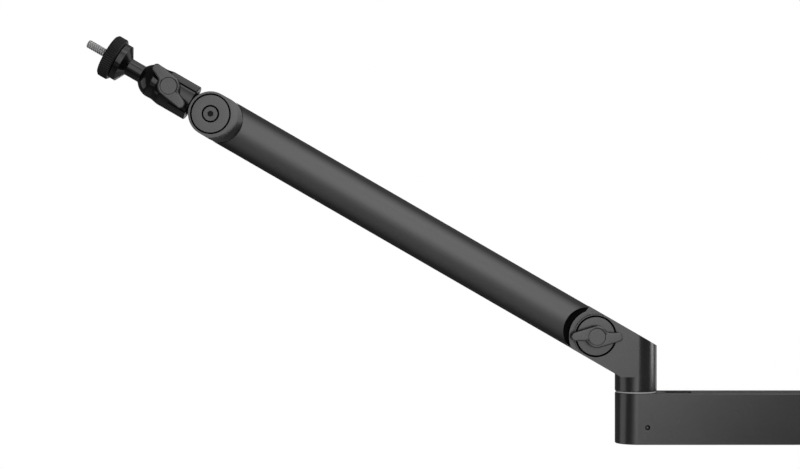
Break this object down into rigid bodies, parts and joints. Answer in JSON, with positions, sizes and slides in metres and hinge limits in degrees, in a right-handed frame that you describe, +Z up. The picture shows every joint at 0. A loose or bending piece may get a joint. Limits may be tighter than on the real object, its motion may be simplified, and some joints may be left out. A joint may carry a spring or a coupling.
{
  "type": "microphone boom arm",
  "caption": "Low-profile desk boom arm for a microphone, with a desk clamp, flat lower arm, swivel elbow, round upper tube and ball head.",
  "frame": {"origin": "on the clamp's swivel axis at the top of the desk", "axes": "+Z up, lower arm along -X, wing knobs on the -Y side"},
  "size_m": [0.7755, 0.0469, 0.4607],
  "materials": {
    "paint": "matte black powder coat",
    "painted_steel": "matte black powder coat",
    "dark_metal": "black anodised",
    "gloss_black": "gloss black",
    "steel": "bright zinc",
    "brass": "turned",
    "rubber": "matte",
    "knob_plastic": "moulded",
    "nylon": "natural grey"
  },
  "bodies": {
    "clamp_body": {"clamp_bracket": "painted_steel", "upper_jaw_pad": "rubber", "base_bushing": "nylon", "base_washer": "nylon", "base_set_screw": "steel"},
    "foot_body": {"clamp_foot": "painted_steel", "foot_pad": "rubber", "foot_ring": "steel"},
    "screw_body": {"clamp_screw": "steel", "clamp_knob": "knob_plastic"},
    "lower_body": {"lower_arm": "paint", "base_spindle": "steel", "spindle_set_screw": "steel", "elbow_bushing": "nylon", "elbow_washer": "nylon", "elbow_set_screw": "steel", "lower_magnets": "steel"},
    "lower_cover_body": {"lower_channel_cover": "painted_steel"},
    "elbow_body": {"elbow_yoke": "paint", "elbow_spindle": "steel", "yoke_set_screw": "steel", "elbow_front_disc": "paint", "elbow_rear_disc": "paint", "elbow_bolt": "steel", "elbow_friction_washers": "nylon", "elbow_knob_washer": "steel"},
    "elbow_knob_body": {"elbow_knob": "paint", "elbow_knob_cap": "paint", "elbow_knob_insert": "brass"},
    "upper_body": {"lower_knuckle": "dark_metal", "upper_tube": "paint", "upper_fork": "paint", "tube_screws": "dark_metal", "upper_magnets": "steel", "tip_front_disc": "paint", "tip_rear_disc": "paint", "tip_bolt": "dark_metal", "tip_nut": "steel", "tip_friction_washers": "nylon"},
    "upper_cover_body": {"upper_channel_cover": "painted_steel"},
    "head_body": {"tip_knuckle": "dark_metal", "head_housing": "gloss_black", "backing_plug": "steel", "ball_cup": "brass"},
    "head_knob_body": {"head_knob": "paint", "head_knob_cap": "paint", "head_screw": "steel"},
    "ball_body": {"ball": "steel"},
    "stem_body": {"stem": "gloss_black", "mic_stud": "steel"},
    "wheel_body": {"lock_wheel": "dark_metal", "wheel_insert": "brass"}
  },
  "joints": [
    {"name": "clamp_travel", "type": "slide", "parent": "clamp_body", "child": "foot_body", "axis": [0, 0, 1], "range_m": [-0.03, 0.02]},
    {"name": "clamp_screw_turn", "type": "hinge", "parent": "foot_body", "child": "screw_body", "pos_m": [0, 0, -0.08], "axis": [0, 0, 1], "range_deg": [-7201, 4801]},
    {"name": "base_swivel", "type": "hinge", "parent": "clamp_body", "child": "lower_body", "pos_m": [0, 0, 0.03], "axis": [0, 0, 1], "continuous": true},
    {"name": "lower_cover_lift", "type": "slide", "parent": "lower_body", "child": "lower_cover_body", "axis": [0, 0, 1], "range_m": [0, 0.009]},
    {"name": "elbow_swivel", "type": "hinge", "parent": "lower_body", "child": "elbow_body", "pos_m": [-0.34, 0, 0.0675], "axis": [0, 0, 1], "continuous": true},
    {"name": "elbow_tilt", "type": "hinge", "parent": "elbow_body", "child": "upper_body", "pos_m": [-0.3702, 0, 0.1084], "axis": [0, 1, 0], "range_deg": [-90, 0]},
    {"name": "elbow_knob_turn", "type": "hinge", "parent": "elbow_body", "child": "elbow_knob_body", "pos_m": [-0.3702, -0.019, 0.1084], "axis": [0, 1, 0], "range_deg": [-45, 360]},
    {"name": "upper_cover_lift", "type": "slide", "parent": "upper_body", "child": "upper_cover_body", "axis": [0, 1, 0], "range_m": [0, 0.012]},
    {"name": "tip_tilt", "type": "hinge", "parent": "upper_body", "child": "head_body", "pos_m": [-0.64473, 0, 0.2669], "axis": [0, 1, 0], "range_deg": [-90, 90]},
    {"name": "head_knob_turn", "type": "hinge", "parent": "head_body", "child": "head_knob_body", "pos_m": [-0.67385, -0.0136, 0.28625], "axis": [0, 1, 0], "range_deg": [-45, 360]},
    {"name": "ball_tilt", "type": "hinge", "parent": "head_body", "child": "ball_body", "pos_m": [-0.68595, 0, 0.2907], "axis": [-0.5, 0, -0.866], "range_deg": [0, 90]},
    {"name": "stem_turn", "type": "hinge", "parent": "ball_body", "child": "stem_body", "pos_m": [-0.68595, 0, 0.2907], "axis": [-0.866, 0, 0.5], "continuous": true},
    {"name": "lock_wheel_turn", "type": "hinge", "parent": "stem_body", "child": "wheel_body", "pos_m": [-0.71644, 0, 0.3083], "axis": [-0.866, 0, 0.5], "range_deg": [-30, 360]}
  ],
  "couplings": [
    {"joint": "clamp_screw_turn", "follows": "clamp_travel", "rad_per_m": 4188.8}
  ]
}
